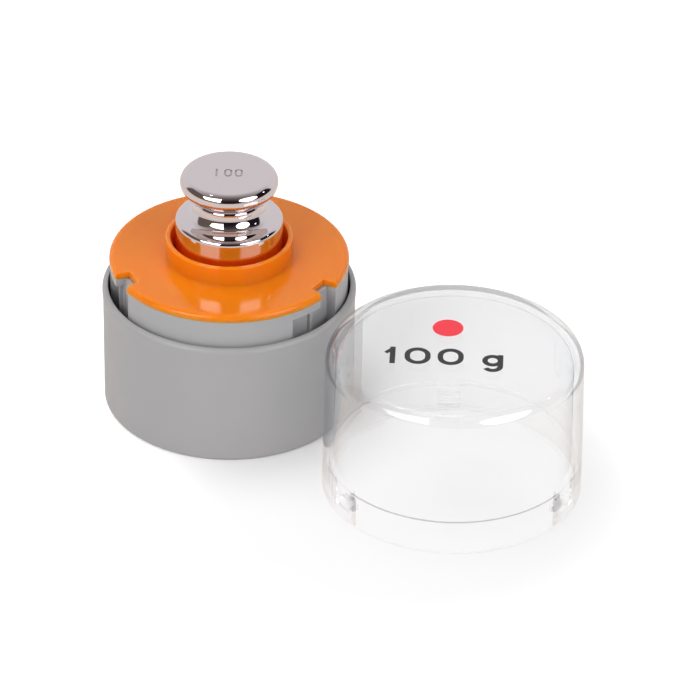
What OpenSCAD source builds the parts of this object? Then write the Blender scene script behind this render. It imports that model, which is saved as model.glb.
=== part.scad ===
// A 100 g knob weight in the orange seat of its grey case, with the clear lid standing beside the case.
// Millimetres, +Z up. The origin is the middle of the cup's underside, which stands on the table.

/* [Cup] */
// Outer radius of the cup at its rim
cup_r = 26.1; // [25:0.1:28]
// Height of the cup's rim above the table
cup_h = 26.9; // [24:0.1:30]
// Inner radius of the cup
cup_bore_r = 24.9; // [24.5:0.05:24.95]
// Thickness of the cup's floor
cup_floor = 2; // [1.5:0.1:3]
// Rounding of the cup's rim
cup_rim_round = 0.95; // [0.5:0.05:1.05]

/* [Carrier sleeve] */
// Outer radius of the sleeve and of its visible neck
neck_r = 24.4; // [24:0.05:24.45]
// Height of the neck's top above the table
neck_top = 32.5; // [30:0.1:34]
// Width of the entry slot for a lid lug
slot_w = 5.6; // [5.2:0.1:6.5]
// Depth of the bayonet pockets
pocket_depth = 1.8; // [1.5:0.1:1.9]
// Angle of the roofed pocket beside each slot
pocket_angle = 17.5; // [12:0.5:20]

/* [Seat] */
// Radius of the orange disc
disc_r = 24.6; // [24:0.1:24.8]
// Thickness of the orange disc
disc_t = 1.5; // [1.2:0.1:2]
// Outer radius of the collar round the weight
collar_r = 13.05; // [12.8:0.05:14]
// Height of the collar above the disc
collar_h = 4.2; // [3:0.1:6]
// Inner radius of the collar's mouth
well_r = 12; // [11.6:0.05:12.2]
// Depth of the rim notches
notch_depth = 3; // [2:0.1:3.4]
// Direction of the first notch, seen from above
notch_turn = 87.5; // [60:0.5:120]

/* [Weight] */
// Radius of the weight's body
weight_r = 11; // [10.5:0.1:11.2]
// Radius of the knob
knob_r = 10.05; // [9:0.05:11]
// Radius of the neck at its narrowest
waist_r = 6.4; // [5:0.1:7]
// Total height of the weight
weight_h = 37.85; // [37:0.05:40]
// Height of the engraved figures
figure_h = 2.9; // [2:0.1:4]

/* [Lid] */
// Outer radius of the lid's mouth
lid_r = 26.4; // [26:0.1:28]
// Height of the lid
lid_h = 32; // [30:0.1:36]
// Rounding of the lid's shoulder
lid_round = 3.6; // [2.5:0.1:5]
// Place of the lid's axis on the table
lid_place = [46.05, -31.3];
// Direction of the lid's first lug, seen from above
lid_turn = 91.2; // [60:0.5:120]

/* [Hidden] */
$fn = 96;
thirds = [0, 120, 240];

// How far a rib, lug or lining reaches into the wall that it is moulded on
bite = 0.4;

// Cup
foot_round = 0.8;
rim_swell = 0.15;
swell_h = 4;

// Carrier sleeve
sleeve_wall = 1.5;
band_wall = 3.2;
band_z = 19;
roof_t = 1.7;
pocket_floor = 20;
slot_depth = pocket_depth + 0.2;
slot_floor = pocket_floor - 0.3;
roof_z = neck_top - roof_t;
slot_half_angle = asin(slot_w / 2 / neck_r);
detent_angle = 10.5;
detent_w = 0.7;
detent_h = 0.7;
rib_angles = [-74.5, -64, -35];
rib_w = 0.6;
rib_z = cup_floor + 0.6;
rib_top = 26.4;

// Seat
disc_z = neck_top + 0.1;
disc_top = disc_z + disc_t;
disc_round = 1;
collar_top = disc_top + collar_h;
collar_round = 0.4;
foot_fillet = 0.5;
notch_outer_w = 5.6;
notch_inner_w = 4.3;
weight_z = 15.2;
seat_gap = 0.02;
well_floor = weight_z - seat_gap;
well_wall = 1.1;
well_foot_r = 11.5;
skirt_h = 4;
skirt_wall = 1;
skirt_r = neck_r - band_wall - 0.08;

// Weight, from the knob down
top_z = weight_z + weight_h;
knob_top_round = 2;
knob_low_round = 2.1;
waist_round = 2.8;
rim_z = top_z - knob_top_round;
low_pos = [knob_r - knob_low_round, rim_z];
waist_reach = knob_low_round + waist_round;
waist_z = rim_z - sqrt(waist_reach ^ 2 - (waist_r + waist_round - low_pos[0]) ^ 2);
waist_pos = [waist_r + waist_round, waist_z];
edge_round = 0.95;
shoulder_z = top_z - 11.1;
bevel = 8;
edge_pos = [weight_r - edge_round, shoulder_z];
edge_end = edge_pos + edge_round * [sin(bevel), cos(bevel)];
flare_r = (waist_z - edge_end[1] - (edge_end[0] - waist_r) * tan(bevel))
    / (cos(bevel) - (1 - sin(bevel)) * tan(bevel));
flare_pos = [waist_r + flare_r, waist_z];
flare_end = flare_pos - flare_r * [sin(bevel), cos(bevel)];
base_round = 0.8;

// Threaded stem, adjusting cavity and shot
stem_r = 3;
stem_len = 7;
thread_gap = 0.05;
joint_gap = 0.02;
cavity_r = 2.5;
cavity_h = 7.5;
cavity_z = waist_z - stem_len - 1 - cavity_h;
shot_r = 0.8;
shot_ring_r = 1.65;
shot_layers = 2;

// Engraved figures on the knob
figure_stroke = 0.4;
figure_depth = 0.15;
zero_w = 1.6;
figure_places = [-2.55, -0.2, 1.95];

// Lid
lid_top_r = 26;
mouth_bore_r = 25;
step_z = 6.9;
step_r = 24.2;
ceiling_t = 2;
inner_round = 2.2;
lid_wall = 2.1;
lug_w = 4.8;
lug_z = 1.9;
lug_h = 1.4;
lug_tip_r = 23.5;
pad_h = 2;
pad_setback = 0.15;
window_w = 8.6;
window_depth = 0.12;
window_top = step_z - 0.4;
round_z = lid_h - lid_round;
ceiling_z = lid_h - ceiling_t;

// A ring with a square section, from radius r0 to r1 and from height z0 to z1
module ring(r0, r1, z0, z1) {
    rotate_extrude()
        translate([r0, z0])
            square([r1 - r0, z1 - z0]);
}

// A slice of a ring between two angles
module ring_slice(r0, r1, z0, z1, a0, a1) {
    rotate([0, 0, a0])
        rotate_extrude(angle = a1 - a0)
            translate([r0, z0])
                square([r1 - r0, z1 - z0]);
}

// A straight block across a radius, w wide, from radius r0 to r1, facing angle a
module radial_block(r0, r1, w, z0, z1, a) {
    rotate([0, 0, a])
        translate([r0, -w / 2, z0])
            cube([r1 - r0, w, z1 - z0]);
}

// Outer shell of the case: a plain cup with a rounded, slightly swollen rim
module outer_cup() {
    side_r = cup_r - rim_swell;
    color("#a3a3a5")
        rotate_extrude()
            difference() {
                union() {
                    polygon([
                        [0, 0],
                        [side_r - foot_round, 0],
                        [side_r, foot_round],
                        [side_r, cup_h - swell_h],
                        [cup_r, cup_h - cup_rim_round],
                        [cup_r - cup_rim_round, cup_h - cup_rim_round],
                        [cup_r - cup_rim_round, cup_h],
                        [0, cup_h]
                    ]);
                    translate([side_r - foot_round, foot_round])
                        circle(r = foot_round);
                    translate([cup_r - cup_rim_round, cup_h - cup_rim_round])
                        circle(r = cup_rim_round);
                }
                translate([0, cup_floor])
                    square([cup_bore_r, cup_h]);
            }
}

// One bayonet track, cut into the neck below a notch: an entry slot and a pocket under a roof
module bayonet_track() {
    reach_r = neck_r + 1;
    pocket_end = -slot_half_angle - pocket_angle;
    ring_slice(neck_r - slot_depth, reach_r, slot_floor, neck_top + 1, -slot_half_angle, slot_half_angle);
    ring_slice(neck_r - pocket_depth, reach_r, pocket_floor, roof_z, pocket_end, 0);
}

// Sleeve inside the cup, whose neck carries the seat and the bayonet tracks
module inner_carrier() {
    back_r = neck_r - pocket_depth;
    color("#a6a6a8") {
        difference() {
            union() {
                ring(neck_r - sleeve_wall, neck_r, cup_floor, neck_top);
                ring(neck_r - band_wall, neck_r - bite, band_z, neck_top);
            }
            for (third = thirds)
                rotate([0, 0, notch_turn + third])
                    bayonet_track();
        }
        for (third = thirds) {
            radial_block(back_r - bite, back_r + detent_h, detent_w, pocket_floor - bite, roof_z + bite,
                notch_turn + third - detent_angle);
            for (rib = rib_angles)
                radial_block(neck_r - bite, cup_bore_r - 0.04, rib_w, rib_z, rib_top, notch_turn + third + rib);
        }
    }
}

// One notch in the disc's rim, wider at the rim than at its root
module rim_notch() {
    root_r = disc_r - notch_depth;
    mouth_r = disc_r + 1;
    mouth_w = notch_outer_w + (notch_outer_w - notch_inner_w) / notch_depth;
    translate([0, 0, disc_z - 1])
        linear_extrude(disc_t + 2)
            polygon([
                [root_r, -notch_inner_w / 2],
                [mouth_r, -mouth_w / 2],
                [mouth_r, mouth_w / 2],
                [root_r, notch_inner_w / 2]
            ]);
}

// Section of the seat: disc, collar, well and locating skirt
module seat_section() {
    difference() {
        union() {
            translate([collar_r - 1, disc_z])
                square([disc_r - disc_round - collar_r + 1, disc_t]);
            translate([disc_r - disc_round, disc_z])
                square([disc_round, disc_t - disc_round]);
            translate([disc_r - disc_round, disc_top - disc_round])
                intersection() {
                    circle(r = disc_round);
                    square(disc_round);
                }
            translate([skirt_r - skirt_wall, disc_z - skirt_h])
                square([skirt_wall, skirt_h + disc_t / 2]);
            polygon([
                [0, well_floor - well_wall],
                [well_foot_r + well_wall, well_floor - well_wall],
                [collar_r, disc_z],
                [collar_r, collar_top - collar_round],
                [collar_r - collar_round, collar_top - collar_round],
                [collar_r - collar_round, collar_top],
                [well_r + collar_round, collar_top],
                [well_r + collar_round, collar_top - collar_round],
                [well_r, collar_top - collar_round],
                [well_foot_r, well_floor],
                [0, well_floor]
            ]);
            for (r = [collar_r - collar_round, well_r + collar_round])
                translate([r, collar_top - collar_round])
                    circle(r = collar_round);
            translate([collar_r, disc_top])
                difference() {
                    square(foot_fillet);
                    translate([foot_fillet, foot_fillet])
                        circle(r = foot_fillet);
                }
        }
        translate([0, well_floor])
            square([well_foot_r, disc_z - well_floor]);
    }
}

// Orange seat that holds the weight, with three notches for the lid's lugs
module weight_insert() {
    color("#e8843c")
        difference() {
            rotate_extrude()
                seat_section();
            for (third = thirds)
                rotate([0, 0, notch_turn + third])
                    rim_notch();
        }
}

// Body of the weight, with the threaded bore and the adjusting cavity
module weight_body() {
    color("#cfccce")
        difference() {
            rotate_extrude()
                difference() {
                    union() {
                        translate([0, weight_z])
                            square([weight_r - base_round, base_round]);
                        translate([weight_r - base_round, weight_z + base_round])
                            circle(r = base_round);
                        translate([0, weight_z + base_round])
                            square([weight_r, shoulder_z - weight_z - base_round]);
                        translate(edge_pos)
                            circle(r = edge_round);
                        polygon([
                            [0, shoulder_z - 1],
                            [edge_pos[0], shoulder_z - 1],
                            edge_pos,
                            edge_end,
                            flare_end,
                            [flare_end[0], waist_z - joint_gap],
                            [0, waist_z - joint_gap]
                        ]);
                    }
                    translate(flare_pos)
                        circle(r = flare_r);
                }
            translate([0, 0, cavity_z + cavity_h])
                cylinder(r = stem_r + thread_gap, h = waist_z - cavity_z - cavity_h + 1);
            translate([0, 0, cavity_z])
                cylinder(r = cavity_r, h = cavity_h + 1);
        }
}

// Engraved nought: a long ring with round ends
module engraved_zero() {
    module long_round(r) {
        reach = (figure_h - zero_w) / 2;
        for (y = [-reach, reach])
            translate([0, y])
                circle(r = r);
        translate([-r, -reach])
            square([2 * r, 2 * reach]);
    }
    difference() {
        long_round(zero_w / 2);
        long_round(zero_w / 2 - figure_stroke);
    }
}

// Engraved figures 1, 0 and 0, read from the front
module engraved_hundred() {
    translate([0, 0, top_z - figure_depth])
        linear_extrude(figure_depth + 1) {
            translate([figure_places[0] - figure_stroke / 2, -figure_h / 2])
                square([figure_stroke, figure_h]);
            for (x = [figure_places[1], figure_places[2]])
                translate([x, 0])
                    engraved_zero();
        }
}

// Knob, neck and threaded stem of the weight, turned in one piece
module weight_knob() {
    color("#d6d2d4")
        difference() {
            union() {
                rotate_extrude()
                    difference() {
                        union() {
                            translate([0, rim_z])
                                square([knob_r - knob_top_round, knob_top_round]);
                            translate([knob_r - knob_top_round, rim_z])
                                circle(r = knob_top_round);
                            translate(low_pos)
                                intersection() {
                                    circle(r = knob_low_round);
                                    translate([-knob_low_round, -knob_low_round])
                                        square([2 * knob_low_round, knob_low_round]);
                                }
                            polygon([[0, rim_z], low_pos, waist_pos, [0, waist_z]]);
                        }
                        translate(waist_pos)
                            circle(r = waist_round);
                    }
                translate([0, 0, waist_z - stem_len])
                    cylinder(r = stem_r, h = stem_len + 1);
            }
            engraved_hundred();
        }
}

// Steel balls that trim the weight, lying on the floor of the cavity
module adjusting_shot() {
    color("#b8b8bc")
        for (layer = [0 : shot_layers - 1])
            translate([0, 0, cavity_z + shot_r + 0.01 + layer * (2 * shot_r + 0.01)]) {
                sphere(r = shot_r);
                for (a = [0 : 60 : 300])
                    translate([shot_ring_r * cos(a), shot_ring_r * sin(a), 0])
                        sphere(r = shot_r);
            }
}

// Outer section of the lid
module lid_outer_section() {
    polygon([
        [0, 0],
        [lid_r, 0],
        [lid_top_r, round_z],
        [lid_top_r - lid_round, round_z],
        [lid_top_r - lid_round, lid_h],
        [0, lid_h]
    ]);
    translate([lid_top_r - lid_round, round_z])
        circle(r = lid_round);
}

// Inner section of the lid, above and below the step
module lid_inner_section() {
    inner_top_r = lid_top_r - lid_wall;
    inner_round_z = ceiling_z - inner_round;
    translate([0, -1])
        square([mouth_bore_r, step_z + 1]);
    polygon([
        [0, step_z],
        [step_r, step_z],
        [inner_top_r, inner_round_z],
        [inner_top_r - inner_round, inner_round_z],
        [inner_top_r - inner_round, ceiling_z],
        [0, ceiling_z]
    ]);
    translate([inner_top_r - inner_round, inner_round_z])
        circle(r = inner_round);
}

// Clear lid with its lugs, standing on the table beside the case
module clear_lid() {
    color("#e9edf0", 0.35)
        translate([lid_place[0], lid_place[1], 0])
            rotate([0, 0, lid_turn]) {
                difference() {
                    rotate_extrude()
                        difference() {
                            lid_outer_section();
                            lid_inner_section();
                        }
                    for (third = thirds)
                        radial_block(mouth_bore_r - 1, mouth_bore_r + window_depth, window_w, -1, window_top, third);
                }
                for (third = thirds)
                    intersection() {
                        union() {
                            ring(lug_tip_r, mouth_bore_r + bite, lug_z, lug_z + lug_h);
                            ring(step_r + pad_setback, mouth_bore_r + bite, step_z - pad_h, step_z + bite);
                        }
                        radial_block(lug_tip_r - 1, lid_r, lug_w, 0, lid_h, third);
                    }
            }
}

outer_cup();
inner_carrier();
weight_insert();
weight_body();
weight_knob();
adjusting_shot();
clear_lid();
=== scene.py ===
# %% [markdown]
# # A 100 g knob weight in its case
#
# The object is a polished steel weight that stands in the orange seat of a grey moulded case, with the
# case's clear lid beside it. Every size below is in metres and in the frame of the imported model: the origin
# is the middle of the cup's underside, +Z is up and +Y points away from the viewer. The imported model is
# loaded first, so that each piece can ride on the body that carries it.

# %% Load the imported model
import math

import bpy
import bmesh
from mathutils import Matrix, Vector


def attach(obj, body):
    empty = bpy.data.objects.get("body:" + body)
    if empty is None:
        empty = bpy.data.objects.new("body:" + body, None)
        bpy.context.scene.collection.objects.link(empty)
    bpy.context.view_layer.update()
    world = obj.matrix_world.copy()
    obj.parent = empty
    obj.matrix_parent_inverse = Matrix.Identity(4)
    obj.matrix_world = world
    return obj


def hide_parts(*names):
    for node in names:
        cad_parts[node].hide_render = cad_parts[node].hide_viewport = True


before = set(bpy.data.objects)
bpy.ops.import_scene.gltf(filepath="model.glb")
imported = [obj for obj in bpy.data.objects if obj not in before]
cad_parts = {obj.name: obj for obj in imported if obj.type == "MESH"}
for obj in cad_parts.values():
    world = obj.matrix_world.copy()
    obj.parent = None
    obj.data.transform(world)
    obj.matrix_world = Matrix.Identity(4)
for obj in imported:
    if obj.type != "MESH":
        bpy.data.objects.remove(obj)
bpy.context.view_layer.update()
MM = 0.001

# %% [markdown]
# ## Camera
#
# A product photograph like this one is taken from about a metre away with a long lens, so the round rims
# show as almost equal ellipses. The rims of the knob, collar, disc, cup and lid gave the angle: the camera
# looks along +Y and 33 degrees down, and it leans by less than a degree. It is placed by its distance and
# by the two small steps from the origin to the middle of the picture, which keeps the lens centred and
# needs no shift.

# %% Camera
LENS = 257.14
LOOK_DOWN = math.radians(33)
LEAN = math.radians(0.845)
CAMERA_DISTANCE = 1.04315
PICTURE_MIDDLE = (0.02517, 0.00855)


def camera_axes():
    """The camera's right, up and forward directions in the frame."""
    flat_right = Vector((1, 0, 0))
    flat_up = Vector((0, math.sin(LOOK_DOWN), math.cos(LOOK_DOWN)))
    forward = Vector((0, math.cos(LOOK_DOWN), -math.sin(LOOK_DOWN)))
    right = flat_right * math.cos(LEAN) + flat_up * math.sin(LEAN)
    up = flat_up * math.cos(LEAN) - flat_right * math.sin(LEAN)
    return right, up, forward


def place_camera():
    right, up, forward = camera_axes()
    data = bpy.data.cameras.new("camera")
    data.lens = LENS
    data.clip_start = 0.05
    data.clip_end = 20
    camera = bpy.data.objects.new("camera", data)
    bpy.context.scene.collection.objects.link(camera)
    where = right * PICTURE_MIDDLE[0] + up * PICTURE_MIDDLE[1] - forward * CAMERA_DISTANCE
    camera.matrix_world = Matrix.Translation(where) @ Matrix((right, up, -forward)).transposed().to_4x4()
    bpy.context.scene.camera = camera
    return camera


camera = place_camera()
bpy.context.scene.view_settings.view_transform = "Standard"
print("camera at", [round(c, 4) for c in camera.location])

# %% [markdown]
# ## Small helpers for node trees
#
# Each finish below is a node tree. These helpers only shorten the writing: one adds a node with its inputs
# set, one links two sockets, and one works out a sum. Constants stay on the shader's own sockets, where an
# export can read them.

# %% Node helpers
def new_material(name):
    material = bpy.data.materials.new(name)
    material.use_nodes = True
    material.node_tree.nodes.clear()
    return material, material.node_tree


def add(tree, kind, inputs=None, **settings):
    node = tree.nodes.new(kind)
    for key, value in settings.items():
        setattr(node, key, value)
    for key, value in (inputs or {}).items():
        node.inputs[key].default_value = value
    return node


def wire(tree, source, target):
    tree.links.new(source, target)


def feed(tree, value, socket):
    """Links a socket to another one, or sets it where the value is a constant."""
    if isinstance(value, (tuple, float, int)):
        socket.default_value = value
    else:
        wire(tree, value, socket)


def maths(tree, operation, first, second=0.0, clamp=False):
    node = add(tree, "ShaderNodeMath", operation=operation, use_clamp=clamp)
    feed(tree, first, node.inputs[0])
    feed(tree, second, node.inputs[1])
    return node.outputs[0]


def mix_shaders(tree, factor, first, second):
    mix = add(tree, "ShaderNodeMixShader")
    for value, socket in zip((factor, first.outputs[0], second.outputs[0]), mix.inputs):
        feed(tree, value, socket)
    return mix


def finish_with(tree, shader):
    output = add(tree, "ShaderNodeOutputMaterial")
    wire(tree, shader.outputs[0], output.inputs["Surface"])


def grey(value):
    return (value, value, value, 1)


# %% [markdown]
# ## Studio: room, lamps and floor
#
# Polished steel shows the room more than itself, so the room is part of its look. The bands on the real
# knob tell what stood around it: a pale backdrop behind, a pale table in front, a dark ceiling, a tall soft
# box on the left, a round one on the right and two small lamps. The room is a world shader that depends on
# direction only, and it is lighter on the left. A lamp above, hidden from the polish, fills in the top
# faces. The backdrop is plain white where the camera sees it.
#
# The floor is a pale card that keeps its shadows. Away from the object it glows to white. Near the object,
# round a point at its front right, the glow fades to nothing, which paints a grey patch of shade round the
# object's foot in which the real shadows show. Seen through the clear lid it glows only a little and evenly,
# a painted grey that keeps it a little greyer there.

# %% Room
ROOM_WHITE = 1.0
ROOM_LIGHT_LEFT = 0.60
ROOM_LIGHT_RIGHT = 0.04
BACKDROP = (0.86, 0.84, 0.86, 1)
TABLE_GLOW = (0.86, 0.76, 0.70, 1)
TABLE_EDGE = 0.095
CEILING = (0.016, 0.012, 0.016, 1)
CEILING_LEFT = (0.16, 0.125, 0.105, 1)
CEILING_DARKEST = math.radians(20.6)
CEILING_PALEST = math.radians(127)
CEILING_CURVE = 1.98
SHEET_HALF_WIDTH = 0.66
BACKDROP_EDGE = 0.36


def split_direction(tree, direction):
    split = add(tree, "ShaderNodeSeparateXYZ")
    wire(tree, direction, split.inputs[0])
    return split.outputs


def ramp(tree, value, low, high, kind="SMOOTHSTEP"):
    """0 to 1 as a value goes from low to high."""
    node = add(tree, "ShaderNodeMapRange", {"From Min": low, "From Max": high}, interpolation_type=kind)
    wire(tree, value, node.inputs["Value"])
    return node.outputs["Result"]


def overhead_sheet(tree, parts):
    """The pale sheet that curls over from the back: it fades out towards the front."""
    from_front = maths(tree, "ARCCOSINE", maths(tree, "MULTIPLY", parts["Y"], -1.0))
    along = ramp(tree, from_front, CEILING_DARKEST, CEILING_PALEST, "LINEAR")
    return maths(tree, "POWER", along, CEILING_CURVE)


def mix_colours(tree, factor, first, second):
    mix = add(tree, "ShaderNodeMix", data_type="RGBA")
    for socket, value in ((mix.inputs[0], factor), (mix.inputs[6], first), (mix.inputs[7], second)):
        feed(tree, value, socket)
    return mix.outputs[2]


def mix_values(tree, factor, first, second):
    mix = add(tree, "ShaderNodeMix", data_type="FLOAT")
    for socket, value in ((mix.inputs[0], factor), (mix.inputs[2], first), (mix.inputs[3], second)):
        feed(tree, value, socket)
    return mix.outputs[0]


def mirrored_room(tree, direction):
    """What polished steel shows: table, dark ceiling, the sheet above it and the backdrop behind."""
    parts = split_direction(tree, direction)
    pale = mix_colours(tree, ramp(tree, parts["Y"], -0.35, 0.35), TABLE_GLOW, BACKDROP)
    dark = mix_colours(tree, ramp(tree, parts["X"], -0.75, -0.2), CEILING_LEFT, CEILING)
    sideways = maths(tree, "ABSOLUTE", parts["X"])
    beyond_sheet = ramp(tree, sideways, SHEET_HALF_WIDTH - 0.05, SHEET_HALF_WIDTH + 0.05)
    backdrop = ramp(tree, parts["Y"], BACKDROP_EDGE - 0.06, BACKDROP_EDGE + 0.06)
    lightness = mix_values(tree, beyond_sheet, overhead_sheet(tree, parts), backdrop)
    above = mix_colours(tree, lightness, dark, pale)
    return mix_colours(tree, ramp(tree, parts["Z"], TABLE_EDGE - 0.01, TABLE_EDGE + 0.01), pale, above)


def make_room():
    world = bpy.data.worlds.new("room")
    bpy.context.scene.world = world
    world.use_nodes = True
    tree = world.node_tree
    tree.nodes.clear()
    direction = add(tree, "ShaderNodeTexCoord").outputs["Generated"]
    path = add(tree, "ShaderNodeLightPath")
    lit = add(tree, "ShaderNodeBackground", {"Color": grey(1)})
    sideways = add(tree, "ShaderNodeMapRange", {"From Min": -1, "To Min": ROOM_LIGHT_LEFT,
                                                "To Max": ROOM_LIGHT_RIGHT})
    wire(tree, split_direction(tree, direction)["X"], sideways.inputs["Value"])
    wire(tree, sideways.outputs["Result"], lit.inputs["Strength"])
    seen = add(tree, "ShaderNodeBackground", {"Color": grey(1), "Strength": ROOM_WHITE})
    shown = add(tree, "ShaderNodeBackground", {"Strength": 1.0})
    wire(tree, mirrored_room(tree, direction), shown.inputs["Color"])
    by_gloss = mix_shaders(tree, path.outputs["Is Glossy Ray"], lit, shown)
    clear = maths(tree, "MAXIMUM", path.outputs["Is Camera Ray"], path.outputs["Is Transmission Ray"])
    whole = mix_shaders(tree, clear, by_gloss, seen)
    output = add(tree, "ShaderNodeOutputWorld")
    wire(tree, whole.outputs[0], output.inputs["Surface"])


make_room()

# %% Lamps
LEFT_BOX_MIDDLE = Vector((-0.57, -0.53, 0.545))
LEFT_BOX_ALONG = Vector((0.966, 0, -0.258))
LEFT_BOX_UP = Vector((0.19, 0.685, 0.70))
LEFT_BOX_SIZE = (0.81, 0.47)
RIGHT_BOX_AT = Vector((0.620, -0.539, 0.534))
RIGHT_BOX_RADIUS = 0.35
LEFT_BOX_GLOW = 4.5
RIGHT_BOX_GLOW = 4.0
TOP_LAMP_AT = Vector((-0.134, 0.197, 0.895))
TOP_LAMP_RADIUS = 0.26
TOP_LAMP_GLOW = 4.0
SMALL_LAMP_RADIUS = 0.035
SMALL_LAMP_GLOW = 6
SMALL_LAMP_PLACES = [Vector((0.814, 0.093, 0.574)), Vector((-0.337, 0.037, 0.941))]


def add_lamp(name, shape, sizes, glow, place, rotation):
    """An area lamp whose face has the given brightness."""
    data = bpy.data.lights.new(name, "AREA")
    data.shape = shape
    data.size = sizes[0]
    data.size_y = sizes[1]
    area = sizes[0] * sizes[1] * (1 if shape == "RECTANGLE" else math.pi / 4)
    data.energy = math.pi * area * glow
    lamp = bpy.data.objects.new(name, data)
    bpy.context.scene.collection.objects.link(lamp)
    lamp.matrix_world = Matrix.Translation(place) @ rotation.to_4x4()
    return lamp


def facing_origin(place):
    return (-place).to_track_quat("-Z", "Y").to_matrix()


def upright_box_rotation():
    along = LEFT_BOX_ALONG.normalized()
    up = (LEFT_BOX_UP - along * LEFT_BOX_UP.dot(along)).normalized()
    away = along.cross(up)
    return Matrix((along, up, away)).transposed()


def add_round_lamp(name, radius, glow, place):
    return add_lamp(name, "DISK", (2 * radius, 2 * radius), glow, place, facing_origin(place))


add_lamp("soft_box_left", "RECTANGLE", LEFT_BOX_SIZE, LEFT_BOX_GLOW, LEFT_BOX_MIDDLE, upright_box_rotation())
add_round_lamp("soft_box_right", RIGHT_BOX_RADIUS, RIGHT_BOX_GLOW, RIGHT_BOX_AT)
for number, place in enumerate(SMALL_LAMP_PLACES):
    add_round_lamp(f"small_lamp_{number}", SMALL_LAMP_RADIUS, SMALL_LAMP_GLOW, place)
add_round_lamp("top_lamp", TOP_LAMP_RADIUS, TOP_LAMP_GLOW, TOP_LAMP_AT).visible_glossy = False

# %% Floor
FLOOR_REACH = 3.0
FLOOR_COLOUR = 0.86
FLOOR_GLOW = (0.0, 0.50)
# Painted shade: within the first reach of this point, at the object's front right, the floor does not glow,
# and beyond the second it glows in full, so a grey patch is painted round the object's foot.
PAINTED_SHADE_MIDDLE = (0.037, -0.037, 0)
PAINTED_SHADE_REACH = (0.034, 0.078)
# Painted grey: seen through the lid, the floor glows at this one low level everywhere.
GLOW_UNDER_PLASTIC = 0.065
MIRRORED_SHARE = 0.75
MIRRORED_TABLE = (0.92, 0.79, 0.70, 1)


def floor_glow_with_painted_shade(tree, path):
    """Strength of the floor's own glow, by the distance from the object and even through clear plastic. Near
    the object it drops to nothing, a painted shade.
    """
    away = add(tree, "ShaderNodeVectorMath", {1: PAINTED_SHADE_MIDDLE}, operation="DISTANCE")
    wire(tree, add(tree, "ShaderNodeTexCoord").outputs["Object"], away.inputs[0])
    painted_shade_glow = add(tree, "ShaderNodeMapRange", {"From Min": PAINTED_SHADE_REACH[0], "From Max": PAINTED_SHADE_REACH[1],
                                              "To Min": FLOOR_GLOW[0], "To Max": FLOOR_GLOW[1]},
                 interpolation_type="SMOOTHSTEP")
    wire(tree, away.outputs["Value"], painted_shade_glow.inputs["Value"])
    seen = maths(tree, "MAXIMUM", path.outputs["Is Camera Ray"], path.outputs["Is Transmission Ray"])
    straight = maths(tree, "MINIMUM", path.outputs["Transparent Depth"], 1)
    covered = maths(tree, "MAXIMUM", straight, path.outputs["Is Transmission Ray"])
    glow = mix_values(tree, covered, painted_shade_glow.outputs["Result"], GLOW_UNDER_PLASTIC)
    return maths(tree, "MULTIPLY", seen, glow)


def floor_material():
    """Pale card. Polished metal sees it in the warm tone of the table in front."""
    material, tree = new_material("pale_floor")
    path = add(tree, "ShaderNodeLightPath")
    card = add(tree, "ShaderNodeBsdfDiffuse", {"Color": grey(FLOOR_COLOUR)})
    glow = add(tree, "ShaderNodeEmission", {"Color": grey(1)})
    wire(tree, floor_glow_with_painted_shade(tree, path), glow.inputs["Strength"])
    both = add(tree, "ShaderNodeAddShader")
    wire(tree, card.outputs[0], both.inputs[0])
    wire(tree, glow.outputs[0], both.inputs[1])
    table = add(tree, "ShaderNodeEmission", {"Color": MIRRORED_TABLE, "Strength": 1.0})
    through = path.outputs["Is Transmission Ray"]
    mirrored = maths(tree, "SUBTRACT", path.outputs["Is Glossy Ray"], through, clamp=True)
    finish_with(tree, mix_shaders(tree, maths(tree, "MULTIPLY", mirrored, MIRRORED_SHARE), both, table))
    return material


def make_floor():
    mesh = bpy.data.meshes.new("floor")
    r = FLOOR_REACH
    mesh.from_pydata([(-r, -r, 0), (r, -r, 0), (r, r, 0), (-r, r, 0)], [], [(0, 1, 2, 3)])
    floor = bpy.data.objects.new("floor", mesh)
    bpy.context.scene.collection.objects.link(floor)
    mesh.materials.append(floor_material())


make_floor()

# %% [markdown]
# ## Turned and moulded shapes
#
# Nearly every piece here is round: the weight is turned on a lathe and the mouldings come from turned
# moulds. So one helper spins an outline of (radius, height) points into a closed mesh, and arcs in the
# outline come from a formula. What isn't round, such as a slot or a notch, is cut with a block afterwards,
# as a cutter would do it. A narrow bevel then breaks the sharp edges, and weighted normals keep the flat
# faces flat, which matters on a mirror finish.

# %% Outlines
def arc(middle, radius, start, stop, steps):
    """Points on an arc of an outline. Angles are in degrees, from the radius axis towards +Z."""
    angles = [math.radians(start + (stop - start) * k / steps) for k in range(steps + 1)]
    return [(middle[0] + radius * math.cos(a), middle[1] + radius * math.sin(a)) for a in angles]


def to_metres(outline):
    return [(r * MM, z * MM) for r, z in outline]


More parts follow.
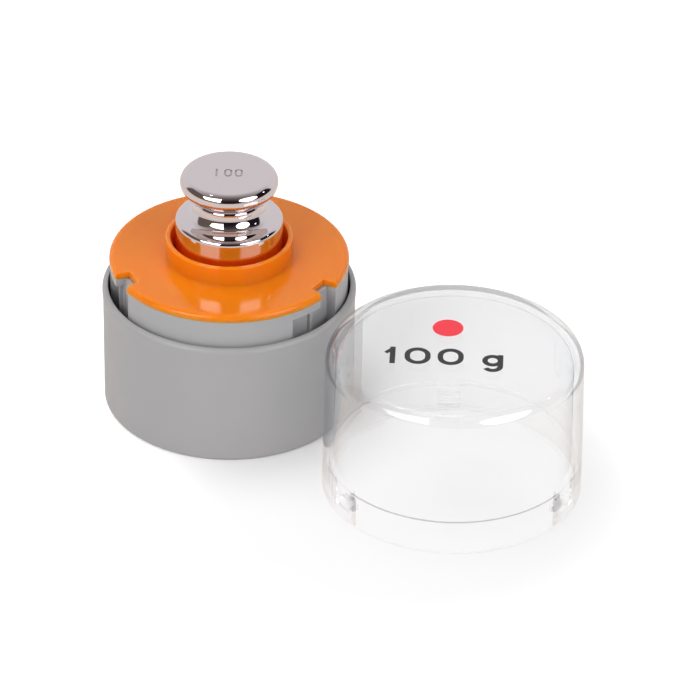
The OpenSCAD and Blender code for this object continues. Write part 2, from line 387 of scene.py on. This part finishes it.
# %% Spinning an outline
def spin(name, outline, sides=256, centre=(0, 0)):
    """A mesh from an outline that is spun round a vertical axis. An outline whose two ends lie on the axis
    gives a solid, and any other is closed from its last point to its first, as a ring."""
    outline = to_metres(outline)
    mesh = bpy.data.meshes.new(name)
    verts = []
    rows = []
    for r, z in outline:
        if r < 1e-9:
            rows.append([len(verts)] * sides)
            verts.append((centre[0], centre[1], z))
            continue
        rows.append(list(range(len(verts), len(verts) + sides)))
        for k in range(sides):
            a = 2 * math.pi * k / sides
            verts.append((centre[0] + r * math.cos(a), centre[1] + r * math.sin(a), z))
    on_axis = outline[0][0] < 1e-9 and outline[-1][0] < 1e-9
    pairs = list(zip(rows[:-1], rows[1:])) + ([] if on_axis else [(rows[-1], rows[0])])
    faces = []
    for low, high in pairs:
        for k in range(sides):
            n = (k + 1) % sides
            ring = list(dict.fromkeys((low[k], low[n], high[n], high[k])))
            if len(ring) > 2:
                faces.append(ring)
    mesh.from_pydata(verts, [], faces)
    piece = bpy.data.objects.new(name, mesh)
    bpy.context.scene.collection.objects.link(piece)
    outwards(piece)
    return piece


def outwards(piece):
    """Turns every face of a closed mesh to face out."""
    work = bmesh.new()
    work.from_mesh(piece.data)
    bmesh.ops.recalc_face_normals(work, faces=work.faces)
    if work.calc_volume(signed=True) < 0:
        bmesh.ops.reverse_faces(work, faces=work.faces)
    work.to_mesh(piece.data)
    work.free()


# %% Cutters and edges
def prism(name, corners, low, high, place=(0, 0), turn=0):
    """An upright prism on a flat outline in millimetres, turned in degrees round its place in metres."""
    c, s = math.cos(math.radians(turn)), math.sin(math.radians(turn))
    flat = [(place[0] + MM * (x * c - y * s), place[1] + MM * (x * s + y * c)) for x, y in corners]
    count = len(flat)
    verts = [(x, y, low * MM) for x, y in flat] + [(x, y, high * MM) for x, y in flat]
    faces = [list(range(count))[::-1], list(range(count, 2 * count))]
    faces += [(k, (k + 1) % count, (k + 1) % count + count, k + count) for k in range(count)]
    mesh = bpy.data.meshes.new(name)
    mesh.from_pydata(verts, [], faces)
    piece = bpy.data.objects.new(name, mesh)
    bpy.context.scene.collection.objects.link(piece)
    outwards(piece)
    return piece


def sector(r0, r1, start, stop, steps=24):
    """The flat outline of a slice of a ring."""
    angles = [math.radians(start + (stop - start) * k / steps) for k in range(steps + 1)]
    outer = [(r1 * math.cos(a), r1 * math.sin(a)) for a in angles]
    return outer + [(r0 * math.cos(a), r0 * math.sin(a)) for a in reversed(angles)]


def bar(r0, r1, width):
    """The flat outline of a straight bar that lies across a radius."""
    return [(r0, -width / 2), (r1, -width / 2), (r1, width / 2), (r0, width / 2)]


def bake_modifiers(piece):
    depsgraph = bpy.context.evaluated_depsgraph_get()
    mesh = bpy.data.meshes.new_from_object(piece.evaluated_get(depsgraph))
    piece.modifiers.clear()
    old = piece.data
    piece.data = mesh
    bpy.data.meshes.remove(old)


def combine(piece, tools, operation="DIFFERENCE"):
    """Cuts the tools from the piece, or joins them to it, and deletes them."""
    for tool in tools:
        step = piece.modifiers.new("cut", "BOOLEAN")
        step.operation = operation
        step.solver = "EXACT"
        step.object = tool
        bake_modifiers(piece)
        bpy.data.objects.remove(tool)
    return piece


def break_edges(piece, width, from_angle=35):
    """A narrow bevel along every sharp edge, in millimetres, and normals that keep flat faces flat."""
    if width:
        bevel = piece.modifiers.new("broken_edges", "BEVEL")
        bevel.width = width * MM
        bevel.segments = 2
        bevel.limit_method = "ANGLE"
        bevel.angle_limit = math.radians(from_angle)
        bevel.use_clamp_overlap = True
        bevel.harden_normals = False
        bake_modifiers(piece)
    piece.data.shade_smooth()
    piece.data.set_sharp_from_angle(angle=math.radians(40))
    normals = piece.modifiers.new("flat_faces", "WEIGHTED_NORMAL")
    normals.mode = "FACE_AREA"
    normals.weight = 50
    normals.keep_sharp = True
    return piece


def dress(piece, material, body, slot, *nodes):
    """Gives a piece its finish and its place in the assembly."""
    piece.data.materials.clear()
    piece.data.materials.append(material)
    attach(piece, body)
    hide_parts(*nodes)
    size = [round(d / MM, 2) for d in piece.dimensions]
    print(piece.name, "faces:", len(piece.data.polygons), "size in mm:", size)


# %% [markdown]
# ## Finish: grey moulded plastic
#
# The cup and its carrier are moulded in a plain grey plastic with a satin skin. Such a skin is a very fine
# texture etched into the mould, so it scatters light softly and evenly. The finish is a plain grey with a
# faint cloudiness, a roughness that wanders a little, and a bump as fine as the etched grain.

# %% Grey moulded plastic
GREY_COLOUR = (0.336, 0.331, 0.336, 1)
GREY_CLOUD = (0.315, 0.311, 0.317, 1)
CARRIER_COLOUR = (0.350, 0.347, 0.356, 1)
CARRIER_CLOUD = (0.328, 0.325, 0.334, 1)


def noise(tree, coords, scale, detail=3.0, roughness=0.5):
    texture = add(tree, "ShaderNodeTexNoise", {"Scale": scale, "Detail": detail, "Roughness": roughness})
    wire(tree, coords, texture.inputs["Vector"])
    return texture.outputs["Fac"]


def spread(tree, factor, low, high):
    """Maps a noise to a range of values."""
    mapped = add(tree, "ShaderNodeMapRange",
                 {"From Min": 0.3, "From Max": 0.7, "To Min": low, "To Max": high})
    wire(tree, factor, mapped.inputs["Value"])
    return mapped.outputs["Result"]


def bump(tree, height, strength, distance, shader):
    node = add(tree, "ShaderNodeBump", {"Strength": strength, "Distance": distance})
    wire(tree, height, node.inputs["Height"])
    wire(tree, node.outputs["Normal"], shader.inputs["Normal"])


def moulded_grey(name, colour, cloud):
    material, tree = new_material(name)
    coords = add(tree, "ShaderNodeTexCoord").outputs["Object"]
    shader = add(tree, "ShaderNodeBsdfPrincipled", {"IOR": 1.5})
    wire(tree, mix_colours(tree, noise(tree, coords, 60), colour, cloud), shader.inputs["Base Color"])
    wire(tree, spread(tree, noise(tree, coords, 300), 0.36, 0.44), shader.inputs["Roughness"])
    bump(tree, noise(tree, coords, 6000, 2.0), 0.25, 0.00002, shader)
    finish_with(tree, shader)
    return material


cup_grey = moulded_grey("cup_grey_plastic", GREY_COLOUR, GREY_CLOUD)
carrier_grey = moulded_grey("carrier_grey_plastic", CARRIER_COLOUR, CARRIER_CLOUD)

# %% [markdown]
# ## Piece: the cup
#
# The cup is a plain deep moulding: a flat floor, straight walls and a rim that swells very slightly and is
# rounded over. It is spun from its outline.

# %% Cup
CUP_R = 26.1
CUP_H = 26.9
CUP_BORE_R = 24.9
CUP_FLOOR = 2
RIM_ROUND = 0.95
FOOT_ROUND = 0.8
RIM_SWELL = 0.15
SWELL_H = 4


def cup_outline():
    side_r = CUP_R - RIM_SWELL
    foot = arc((side_r - FOOT_ROUND, FOOT_ROUND), FOOT_ROUND, -90, 0, 8)
    swell = []
    for k in range(10):
        out = RIM_SWELL * (1 - math.cos(math.pi * k / 10)) / 2
        swell.append((side_r + out, CUP_H - SWELL_H + (SWELL_H - RIM_ROUND) * k / 10))
    rim = arc((CUP_R - RIM_ROUND, CUP_H - RIM_ROUND), RIM_ROUND, 0, 100, 12)
    inner_edge = [(CUP_BORE_R, CUP_H - 0.12)]
    return [(0, 0)] + foot + swell + rim + inner_edge + [(CUP_BORE_R, CUP_FLOOR), (0, CUP_FLOOR)]


cup = break_edges(spin("cup_shell", cup_outline()), 0)
dress(cup, cup_grey, "case", "case_plastic", "outer_cup")

# %% [markdown]
# ## Piece: the carrier
#
# The carrier is a sleeve inside the cup. Its neck stands above the cup's rim and carries three bayonet
# tracks: an entry slot that is open at the top, and a pocket beside it under a thin roof, with a small
# upright rib that the lid's lug clicks past. The sleeve is spun, and the tracks are cut out of it.

# %% Carrier
NECK_R = 24.4
NECK_TOP = 32.5
SLEEVE_WALL = 1.5
BAND_WALL = 3.2
BAND_Z = 19
SLOT_W = 5.6
SLOT_DEPTH = 2.0
SLOT_FLOOR = 19.7
POCKET_DEPTH = 1.8
POCKET_FLOOR = 20
POCKET_ANGLE = 17.5
ROOF_Z = 30.8
DETENT_ANGLE = 10.5
DETENT = (0.7, 0.7)
CRUSH_RIBS = [-74.5, -64, -35]
CRUSH_RIB_W = 0.6
CRUSH_RIB_TOP = 26.4
NOTCH_TURN = 87.5
THIRDS = (0, 120, 240)
BITE = 0.4


def carrier_outline():
    inner = NECK_R - BAND_WALL
    return [(NECK_R - SLEEVE_WALL, CUP_FLOOR), (NECK_R, CUP_FLOOR), (NECK_R, NECK_TOP), (inner, NECK_TOP),
            (inner, BAND_Z), (NECK_R - SLEEVE_WALL, BAND_Z)]


def track_cutters(turn):
    """The slot and the pocket of one bayonet track."""
    half = math.degrees(math.asin(SLOT_W / 2 / NECK_R))
    slot = sector(NECK_R - SLOT_DEPTH, NECK_R + 1, -half, half)
    pocket = sector(NECK_R - POCKET_DEPTH, NECK_R + 1, -half - POCKET_ANGLE, 0)
    return [prism("slot", slot, SLOT_FLOOR, NECK_TOP + 1, turn=turn),
            prism("pocket", pocket, POCKET_FLOOR, ROOF_Z, turn=turn)]


def carrier_ribs(turn):
    """The click rib in one pocket, and the crush ribs that hold the sleeve in the cup."""
    back = NECK_R - POCKET_DEPTH
    click_rib = bar(back - BITE, back + DETENT[1], DETENT[0])
    ribs = [prism("click_rib", click_rib, POCKET_FLOOR - BITE, ROOF_Z + BITE, turn=turn - DETENT_ANGLE)]
    for rib in CRUSH_RIBS:
        ribs.append(prism("crush_rib", bar(NECK_R - BITE, CUP_BORE_R - 0.04, CRUSH_RIB_W), CUP_FLOOR + 0.6,
                          CRUSH_RIB_TOP, turn=turn + rib))
    return ribs


def make_carrier():
    sleeve = spin("carrier_sleeve", carrier_outline())
    for third in THIRDS:
        combine(sleeve, track_cutters(NOTCH_TURN + third))
    for third in THIRDS:
        combine(sleeve, carrier_ribs(NOTCH_TURN + third), "UNION")
    return break_edges(sleeve, 0.12)


carrier = make_carrier()
dress(carrier, carrier_grey, "case", "carrier_plastic", "inner_carrier")

# %% [markdown]
# ## Finish: orange moulded plastic
#
# The seat is moulded in a strong orange with a glossy skin. Seen at a low angle, the gloss lays the pale
# backdrop over the colour, which makes the disc look lighter than the collar. Light also travels a few
# millimetres inside the plastic, the red part farthest, which warms the well.

# %% Orange plastic
ORANGE = (0.91, 0.208, 0.006, 1)
ORANGE_DEEP = (0.87, 0.19, 0.005, 1)
ORANGE_SHINE = 0.32
ORANGE_SCATTER = 0.85
ORANGE_SCATTER_DEPTH = 0.006
ORANGE_SCATTER_SHARES = (1.0, 0.3, 0.05)


def glossy_orange():
    material, tree = new_material("orange_plastic")
    coords = add(tree, "ShaderNodeTexCoord").outputs["Object"]
    shader = add(tree, "ShaderNodeBsdfPrincipled", {
        "IOR": 1.5, "Specular IOR Level": ORANGE_SHINE, "Subsurface Weight": ORANGE_SCATTER,
        "Subsurface Scale": ORANGE_SCATTER_DEPTH, "Subsurface Radius": ORANGE_SCATTER_SHARES})
    wire(tree, mix_colours(tree, noise(tree, coords, 80), ORANGE, ORANGE_DEEP), shader.inputs["Base Color"])
    wire(tree, spread(tree, noise(tree, coords, 400), 0.10, 0.16), shader.inputs["Roughness"])
    bump(tree, noise(tree, coords, 900, 2.0), 0.08, 0.00002, shader)
    finish_with(tree, shader)
    return material


orange_plastic = glossy_orange()

# %% [markdown]
# ## Piece: the seat
#
# The seat is a thin disc with a raised collar and a well that tapers down to hold the weight. Three notches
# in its rim let the lid's lugs pass. Its underside has a short skirt that centres it in the neck.

# %% Seat
DISC_R = 24.6
DISC_Z = NECK_TOP + 0.1
DISC_T = 1.5
DISC_TOP = DISC_Z + DISC_T
DISC_ROUND = 1.0
COLLAR_R = 13.05
COLLAR_TOP = DISC_TOP + 4.2
COLLAR_ROUND = 0.4
FOOT_FILLET = 0.2
WELL_R = 12
WELL_FOOT_R = 11.5
WELL_FLOOR = 15.18
WELL_WALL = 1.1
SKIRT_R = NECK_R - BAND_WALL - 0.08
SKIRT_WALL = 1
SKIRT_H = 4
NOTCH_DEPTH = 3
NOTCH_W = (4.3, 5.6)


def seat_outline():
    """The seat's section, from the well's floor out over the collar and the disc and back underneath."""
    well = [(0, WELL_FLOOR), (WELL_FOOT_R, WELL_FLOOR)]
    lip_in = arc((WELL_R + COLLAR_ROUND, COLLAR_TOP - COLLAR_ROUND), COLLAR_ROUND, 180, 90, 8)
    lip_out = arc((COLLAR_R - COLLAR_ROUND, COLLAR_TOP - COLLAR_ROUND), COLLAR_ROUND, 90, 0, 8)
    fillet = arc((COLLAR_R + FOOT_FILLET, DISC_TOP + FOOT_FILLET), FOOT_FILLET, 180, 270, 8)
    rim = arc((DISC_R - DISC_ROUND, DISC_TOP - DISC_ROUND), DISC_ROUND, 90, 0, 10)
    skirt_foot = DISC_Z - SKIRT_H
    under = [(DISC_R, DISC_Z), (SKIRT_R, DISC_Z), (SKIRT_R, skirt_foot), (SKIRT_R - SKIRT_WALL, skirt_foot),
             (SKIRT_R - SKIRT_WALL, DISC_Z), (COLLAR_R, DISC_Z)]
    foot = [(WELL_FOOT_R + WELL_WALL, WELL_FLOOR - WELL_WALL), (0, WELL_FLOOR - WELL_WALL)]
    return well + lip_in + lip_out + fillet + rim + under + foot


def notch_cutter(turn):
    root, mouth = DISC_R - NOTCH_DEPTH, DISC_R + 1
    mouth_w = NOTCH_W[1] + (NOTCH_W[1] - NOTCH_W[0]) / NOTCH_DEPTH
    corners = [(root, -NOTCH_W[0] / 2), (mouth, -mouth_w / 2), (mouth, mouth_w / 2), (root, NOTCH_W[0] / 2)]
    return prism("notch", corners, DISC_Z - 1, DISC_TOP + 1, turn=turn)


notches = [notch_cutter(NOTCH_TURN + third) for third in THIRDS]
seat = combine(spin("orange_seat", seat_outline(), 320), notches)
break_edges(seat, 0.14)
dress(seat, orange_plastic, "seat", "seat_plastic", "weight_insert")

# %% [markdown]
# ## Finish: polished steel
#
# The weight is turned from stainless steel and polished to a mirror. Its own colour is a faintly warm grey.
# A real polish still has a trace of haze that wanders over the surface, which keeps the reflections from
# looking drawn.

# %% Polished steel
STEEL_COLOUR = (0.665, 0.615, 0.625, 1)
ETCHED_COLOUR = (0.50, 0.455, 0.46, 1)
SHOT_COLOUR = (0.45, 0.45, 0.46, 1)


def polished_steel(name, colour, low, high):
    material, tree = new_material(name)
    coords = add(tree, "ShaderNodeTexCoord").outputs["Object"]
    shader = add(tree, "ShaderNodeBsdfPrincipled", {"Base Color": colour, "Metallic": 1.0})
    wire(tree, spread(tree, noise(tree, coords, 250), low, high), shader.inputs["Roughness"])
    finish_with(tree, shader)
    return material


mirror_steel = polished_steel("polished_steel", STEEL_COLOUR, 0.02, 0.05)
etched_steel = polished_steel("etched_steel", ETCHED_COLOUR, 0.40, 0.50)
shot_steel = polished_steel("shot_steel", SHOT_COLOUR, 0.30, 0.40)

# %% [markdown]
# ## Pieces: the weight
#
# The weight is turned in two pieces. The body has a bore for the adjusting shot, and the knob, with its
# neck and its stem, closes it. The body's shoulder slopes gently and runs up into the neck in one wide
# hollow curve.

# %% Weight body
WEIGHT_Z = 15.2
WEIGHT_R = 11
TOP_Z = WEIGHT_Z + 37.85
KNOB_R = 10.05
WAIST_R = 6.4
KNOB_TOP_ROUND = 2
KNOB_LOW_ROUND = 2.1
WAIST_ROUND = 2.8
KNOB_RIM_Z = TOP_Z - KNOB_TOP_ROUND
LOW_R = KNOB_R - KNOB_LOW_ROUND
WAIST_REACH = KNOB_LOW_ROUND + WAIST_ROUND
WAIST_MIDDLE_R = WAIST_R + WAIST_ROUND
WAIST_Z = KNOB_RIM_Z - math.sqrt(WAIST_REACH ** 2 - (WAIST_MIDDLE_R - LOW_R) ** 2)
SHOULDER_Z = TOP_Z - 11.1
EDGE_ROUND = 0.95
BASE_ROUND = 0.8
BEVEL = 8
JOINT_GAP = 0.02
STEM_R = 3
STEM_LEN = 7
THREAD_GAP = 0.05
CAVITY_R = 2.5
CAVITY_H = 7.5
CAVITY_TOP = WAIST_Z - STEM_LEN - 1


def flare_circle():
    """Middle and radius of the hollow curve that meets the waist upright and the shoulder along its slope."""
    slope = math.radians(BEVEL)
    end = (WEIGHT_R - EDGE_ROUND + EDGE_ROUND * math.sin(slope), SHOULDER_Z + EDGE_ROUND * math.cos(slope))
    rise = WAIST_Z - end[1] - (end[0] - WAIST_R) * math.tan(slope)
    radius = rise / (math.cos(slope) - (1 - math.sin(slope)) * math.tan(slope))
    return (WAIST_R + radius, WAIST_Z), radius


def body_outline():
    middle, radius = flare_circle()
    base = arc((WEIGHT_R - BASE_ROUND, WEIGHT_Z + BASE_ROUND), BASE_ROUND, -90, 0, 8)
    edge = arc((WEIGHT_R - EDGE_ROUND, SHOULDER_Z), EDGE_ROUND, 0, 90 - BEVEL, 12)
    flare = arc(middle, radius, 270 - BEVEL, 180, 28)[:-1] + [(WAIST_R, WAIST_Z - JOINT_GAP)]
    bore_r = STEM_R + THREAD_GAP
    bore = [(bore_r, WAIST_Z - JOINT_GAP), (bore_r, CAVITY_TOP), (CAVITY_R, CAVITY_TOP),
            (CAVITY_R, CAVITY_TOP - CAVITY_H), (0, CAVITY_TOP - CAVITY_H)]
    return [(0, WEIGHT_Z)] + base + edge + flare + bore


steel_body = break_edges(spin("steel_body", body_outline(), 360), 0)
dress(steel_body, mirror_steel, "weight", "body_steel", "weight_body")

# %% Weight knob
FIGURE_H = 2.9
FIGURE_STROKE = 0.4
FIGURE_DEPTH = 0.15
ZERO_W = 1.6
FIGURE_PLACES = [-2.55, -0.2, 1.95]
FIGURE_AREA_R = 5


def knob_outline():
    top = arc((KNOB_R - KNOB_TOP_ROUND, KNOB_RIM_Z), KNOB_TOP_ROUND, 90, 0, 20)
    turn = math.degrees(math.acos((WAIST_MIDDLE_R - LOW_R) / WAIST_REACH))
    low = arc((LOW_R, KNOB_RIM_Z), KNOB_LOW_ROUND, 0, -turn, 24)[1:]
    waist = arc((WAIST_MIDDLE_R, WAIST_Z), WAIST_ROUND, 180 - turn, 180, 24)[1:]
    stem = [(STEM_R, WAIST_Z), (STEM_R, WAIST_Z - STEM_LEN), (0, WAIST_Z - STEM_LEN)]
    return [(0, TOP_Z)] + top + low + waist + stem


def long_round(width, height, steps=12):
    """The flat outline of a bar with round ends."""
    r = width / 2
    reach = height / 2 - r
    upper = arc((0, reach), r, 0, 180, steps)
    return upper + [(-x, -y) for x, y in upper]


def nought(width, height, stroke, middle, low, high, place=(0, 0), turn=0):
    """A ring with long sides: the figure 0, engraved or printed."""
    x, y = middle
    outer, inner = ([(x + u, y + v) for u, v in long_round(width - 2 * inset, height - 2 * inset)]
                    for inset in (0, stroke))
    ring = prism("nought", outer, low, high, place, turn)
    return combine(ring, [prism("nought_middle", inner, low - 1, high + 1, place, turn)])


def upright(stroke, height, middle):
    """The flat outline of a plain upright stroke: the figure 1."""
    x, y = middle
    return [(x + u * stroke / 2, y + v * height / 2) for u, v in ((-1, -1), (1, -1), (1, 1), (-1, 1))]


def engraving_cutters():
    low, high = TOP_Z - FIGURE_DEPTH, TOP_Z + 1
    one = prism("one", upright(FIGURE_STROKE, FIGURE_H, (FIGURE_PLACES[0], 0)), low, high)
    return [one] + [nought(ZERO_W, FIGURE_H, FIGURE_STROKE, (x, 0), low, high) for x in FIGURE_PLACES[1:]]


def etch_figures(knob, material):
    """The engraver leaves a matt floor and matt walls: they get a finish of their own."""
    knob.data.materials.append(material)
    etched = 0
    for face in knob.data.polygons:
        middle = face.center
        in_area = math.hypot(middle.x, middle.y) < FIGURE_AREA_R * MM
        if in_area and (TOP_Z - 2 * FIGURE_DEPTH) * MM < middle.z < (TOP_Z - 0.01) * MM:
            face.material_index = 1
            etched += 1
    print("etched faces:", etched)


steel_knob = combine(spin("steel_knob", knob_outline(), 360), engraving_cutters())
break_edges(steel_knob, 0)
dress(steel_knob, mirror_steel, "knob", "knob_steel", "weight_knob")
etch_figures(steel_knob, etched_steel)

# %% Adjusting shot
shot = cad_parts["adjusting_shot"]
shot.data.materials.clear()
shot.data.materials.append(shot_steel)

# %% [markdown]
# ## Finish: clear plastic
#
# The lid is moulded in clear plastic with walls of 2 mm. Walls so thin hardly shift what is behind them, so
# most of the light goes straight through, and every surface takes a little of it: a trace where the surface
# is faced, more where it is seen edge-on. The rest of the light is bent as in solid plastic, which draws
# the rims, the step and the lugs as lines. Fresnel adds the gloss, only where a ray meets the plastic from
# outside.

# %% Clear plastic
CLEAR_FACED = (0.985, 0.983, 0.985, 1)
CLEAR_EDGE_ON = (0.73, 0.73, 0.74, 1)
CLEAR_GLOSS = (0.86, 0.93, 0.98, 1)
EDGE_ON = (0.55, 0.98)
SHADOW_TINT = (0.972, 0.972, 0.974, 1)
CLEAR_IOR = 1.49
BENT_SHARE = 0.42


def straight_light(tree):
    """Light that goes straight through, and loses more where a surface is seen edge-on."""
    facing = add(tree, "ShaderNodeLayerWeight", {"Blend": 0.5}).outputs["Facing"]
    tint = mix_colours(tree, ramp(tree, facing, *EDGE_ON), CLEAR_FACED, CLEAR_EDGE_ON)
    through = add(tree, "ShaderNodeBsdfTransparent")
    wire(tree, tint, through.inputs["Color"])
    return through


def outer_gloss(tree):
    coords = add(tree, "ShaderNodeTexCoord").outputs["Object"]
    gloss = add(tree, "ShaderNodeBsdfPrincipled", {"Base Color": CLEAR_GLOSS, "Metallic": 1.0})
    wire(tree, spread(tree, noise(tree, coords, 120), 0.02, 0.06), gloss.inputs["Roughness"])
    return gloss


def clear_plastic_material():
    """A ray bent or mirrored before goes on as in solid plastic. Lamps shine through, a little tinted."""
    material, tree = new_material("clear_plastic")
    path = add(tree, "ShaderNodeLightPath")
    outward = maths(tree, "SUBTRACT", 1, add(tree, "ShaderNodeNewGeometry").outputs["Backfacing"])
    already_bent = maths(tree, "SUBTRACT", 1, path.outputs["Is Camera Ray"])
    share = maths(tree, "MAXIMUM", maths(tree, "MULTIPLY", outward, BENT_SHARE), already_bent)
    bent = add(tree, "ShaderNodeBsdfGlass", {"Color": grey(0.995), "Roughness": 0.0, "IOR": CLEAR_IOR})
    body = mix_shaders(tree, share, straight_light(tree), bent)
    fresnel = add(tree, "ShaderNodeFresnel", {"IOR": CLEAR_IOR}).outputs[0]
    clear = mix_shaders(tree, maths(tree, "MULTIPLY", fresnel, outward), body, outer_gloss(tree))
    lamps = add(tree, "ShaderNodeBsdfTransparent", {"Color": SHADOW_TINT})
    lighting = maths(tree, "MAXIMUM", path.outputs["Is Shadow Ray"], path.outputs["Is Diffuse Ray"])
    finish_with(tree, mix_shaders(tree, lighting, clear, lamps))
    return material


clear_plastic = clear_plastic_material()

# %% [markdown]
# ## Piece: the lid
#
# The lid is a clear bell that stands beside the case on its open rim. Inside its mouth is a wider band with
# a step above it, three lugs for the bayonet tracks, and a pad above each lug that turns the seat. The step
# is what draws the line round the lid's lower part. The bell is spun, shallow windows are cut round the
# lugs, and the lugs and pads are joined on, so that the lid is one solid that light can be bent through.

# %% Lid
LID_PLACE = (46.05 * MM, -31.3 * MM)
LID_R = 26.4
LID_TOP_R = 26
LID_H = 32
LID_ROUND = 3.6
MOUTH_BORE_R = 25
STEP_Z = 6.9
STEP_R = 24.2
LID_WALL = 2.1
CEILING_T = 2
INNER_ROUND = 2.2
LUG_W = 4.8
LUG_Z = 1.9
LUG_H = 1.4
LUG_TIP_R = 23.5
PAD_H = 2
PAD_SETBACK = 0.15
WINDOW_W = 8.6
WINDOW_DEPTH = 0.12
WINDOW_TOP = STEP_Z - 0.4
LID_TURN = 91.2
RIM_EDGE = 0.2


def lid_outline():
    round_z = LID_H - LID_ROUND
    inner_top_r = LID_TOP_R - LID_WALL
    ceiling = LID_H - CEILING_T
    outside = [(0, LID_H)] + arc((LID_TOP_R - LID_ROUND, round_z), LID_ROUND, 90, 0, 28)
    mouth = [(LID_R - 0.01, RIM_EDGE), (LID_R - RIM_EDGE, 0), (MOUTH_BORE_R + RIM_EDGE, 0),
             (MOUTH_BORE_R, RIM_EDGE)]
    step = [(MOUTH_BORE_R, STEP_Z), (STEP_R, STEP_Z)]
    inside = arc((inner_top_r - INNER_ROUND, ceiling - INNER_ROUND), INNER_ROUND, 0, 90, 20)
    return outside + mouth + step + inside + [(0, ceiling)]


def lug_and_pad(turn):
    lug = prism("lug", bar(LUG_TIP_R, MOUTH_BORE_R + BITE, LUG_W), LUG_Z, LUG_Z + LUG_H, LID_PLACE, turn)
    pad = prism("pad", bar(STEP_R + PAD_SETBACK, MOUTH_BORE_R + BITE, LUG_W), STEP_Z - PAD_H, STEP_Z + BITE,
                LID_PLACE, turn)
    return [lug, pad]


def make_lid():
    bell = spin("clear_lid_bell", lid_outline(), 320, LID_PLACE)
    windows = [prism("window", bar(MOUTH_BORE_R - 1, MOUTH_BORE_R + WINDOW_DEPTH, WINDOW_W), -1, WINDOW_TOP,
                     LID_PLACE, LID_TURN + third) for third in THIRDS]
    combine(bell, windows)
    for third in THIRDS:
        combine(bell, lug_and_pad(LID_TURN + third), "UNION")
    return break_edges(bell, 0.08)


lid = make_lid()
dress(lid, clear_plastic, "lid", "clear_plastic", "clear_lid")

# %% [markdown]
# ## Piece: the print on the lid
#
# The lid's top is printed in black ink, with a spot of red above. Here it says what the case holds, 100 g,
# in plain upright figures. Ink lies on the plastic as a film of a few hundredths of a millimetre, so each
# mark is a very thin solid on the lid's top: it then shows from any side and goes with the lid. The letter
# g is a ring with an upright beside it that ends in a hook.

# %% Print on the lid
INK_BLACK = (0.018, 0.018, 0.021, 1)
INK_RED = (0.80, 0.035, 0.055, 1)
INK_LOW = LID_H + 0.003
INK_HIGH = LID_H + 0.03
PRINT_TURN = -2
PRINT_STROKE = 1.1
PRINT_H = 6
PRINT_LINE = -3.6
PRINT_ZERO_W = 5.2
PRINT_PLACES = (-12.4, -7.4, -0.8)
BOWL = (7.6, -4.5, 4.2)
HOOK_DROP = 2.0
FLAG = ((-1.7, -1.9), (-1.1, -2.5), (0.2, -1.2), (0, 0))
SPOT = (-1.6, 7, 3.1)


def ink(name, colour):
    material, tree = new_material(name)
    coords = add(tree, "ShaderNodeTexCoord").outputs["Object"]
    shader = add(tree, "ShaderNodeBsdfPrincipled", {"Base Color": colour, "IOR": 1.45})
    wire(tree, spread(tree, noise(tree, coords, 900), 0.35, 0.5), shader.inputs["Roughness"])
    finish_with(tree, shader)
    return material


def printed(name, corners):
    return prism(name, corners, INK_LOW, INK_HIGH, LID_PLACE, PRINT_TURN)


def printed_nought(width, height, middle):
    return nought(width, height, PRINT_STROKE, middle, INK_LOW, INK_HIGH, LID_PLACE, PRINT_TURN)


def letter_g():
    """A round bowl, an upright at its right and a hook under it."""
    x, y, width = BOWL
    r = width / 2
    bowl = printed_nought(width, width + 0.01, (x, y))
    drop = y - HOOK_DROP
    left, right = x + r - PRINT_STROKE, x + r
    stem = printed("g_stem", [(left, drop), (right, drop), (right, y + r), (left, y + r)])
    outer = arc((x, drop), r, 0, -150, 20)
    inner = arc((x, drop), r - PRINT_STROKE, -150, 0, 20)
    return combine(bowl, [stem, printed("g_hook", outer + inner)], "UNION")


def printed_weight():
    one_x, *zeros = PRINT_PLACES
    one = printed("lid_print", upright(PRINT_STROKE, PRINT_H, (one_x, PRINT_LINE)))
    top = PRINT_LINE + PRINT_H / 2
    flag = printed("flag", [(one_x + x, top + y) for x, y in FLAG])
    parts = [printed_nought(PRINT_ZERO_W, PRINT_H, (x, PRINT_LINE)) for x in zeros]
    return combine(one, [flag] + parts + [letter_g()], "UNION")


def printed_spot():
    x, y, r = SPOT
    return printed("lid_spot", [(x + u, y + v) for u, v in arc((0, 0), r, 0, 354, 59)])


marks = ((printed_weight(), ink("black_ink", INK_BLACK)), (printed_spot(), ink("red_ink", INK_RED)))
for mark, material in marks:
    mark.data.materials.append(material)
    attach(mark, "lid")
    print(mark.name, "faces:", len(mark.data.polygons))
